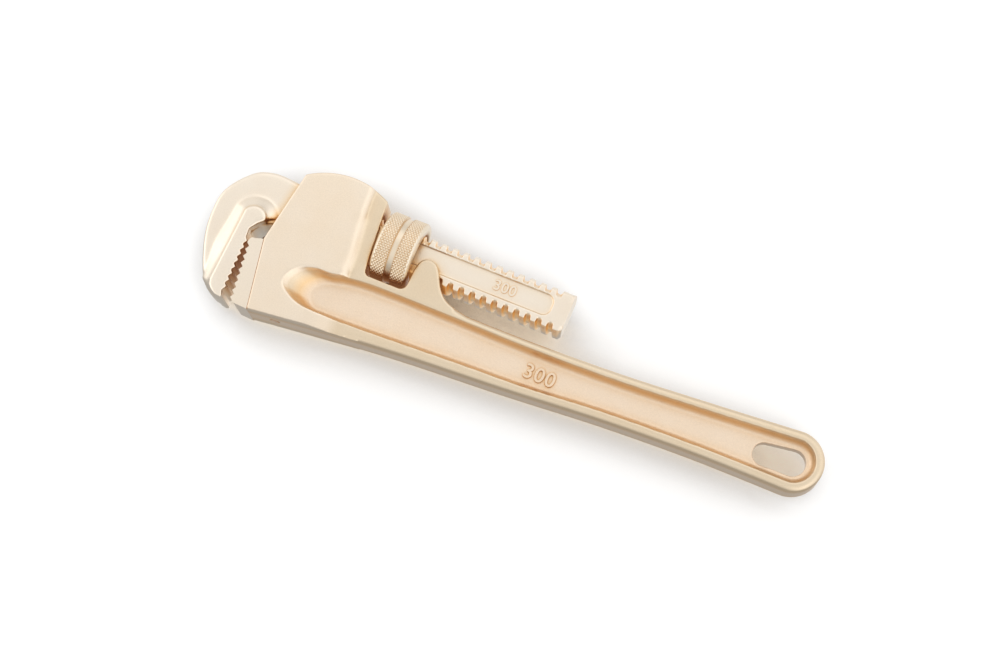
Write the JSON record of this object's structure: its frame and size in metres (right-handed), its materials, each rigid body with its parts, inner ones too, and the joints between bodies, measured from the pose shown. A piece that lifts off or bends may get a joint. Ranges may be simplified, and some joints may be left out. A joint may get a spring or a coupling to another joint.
{
  "type": "pipe wrench",
  "caption": "Adjustable pipe wrench with a toothed sliding hook jaw, a knurled screw nut, a toothed heel jaw and a flanged handle with a hanging slot.",
  "frame": {"origin": "on the housing's lower flat, straight below the screw axis, 26 mm behind the closed mouth", "axes": "+X along the screw axis from the jaws towards the handle's end, +Y from the handle side to the hook jaw's back, +Z out of the upper side face; the wrench lies flat on the side face that faces -Z"},
  "size_m": [0.2786, 0.0697, 0.0304],
  "materials": {
    "cast_bronze_handle": "sand-blasted cast aluminium bronze",
    "cast_bronze_hook": "sand-blasted forged aluminium bronze",
    "machined_bronze_heel": "machined aluminium bronze",
    "bronze_pin": "turned bronze",
    "knurled_bronze_nut": "knurled bronze",
    "spring_bronze_leaf": "rolled spring bronze",
    "spring_rivet_bronze": "turned bronze",
    "spring_bronze_coil": "drawn spring bronze"
  },
  "bodies": {
    "housing": {"handle": "cast_bronze_handle", "heel_jaw": "machined_bronze_heel", "heel_jaw_pin": "bronze_pin", "coil_spring": "spring_bronze_coil"},
    "spring_rocker": {"flat_spring": "spring_bronze_leaf", "spring_rivet": "spring_rivet_bronze"},
    "hook": {"hook_jaw": "cast_bronze_hook"},
    "nut": {"adjusting_nut": "knurled_bronze_nut"}
  },
  "joints": [
    {"name": "jaw_rock", "type": "hinge", "parent": "housing", "child": "spring_rocker", "pos_m": [0.02505, -0.014, 0.01025], "axis": [0, 0, 1], "range_deg": [0, 2], "stiffness_Nm_per_rad": 20, "springref_deg": -2.86, "deforming": ["coil_spring"]},
    {"name": "jaw_slide", "type": "slide", "parent": "spring_rocker", "child": "hook", "axis": [-1, 0, 0], "range_m": [0, 0.046]},
    {"name": "nut_spin", "type": "hinge", "parent": "spring_rocker", "child": "nut", "pos_m": [0.0334, 0, 0.01025], "axis": [1, 0, 0], "continuous": true}
  ],
  "couplings": [
    {"joint": "nut_spin", "follows": "jaw_slide", "rad_per_m": 1256.6}
  ]
}
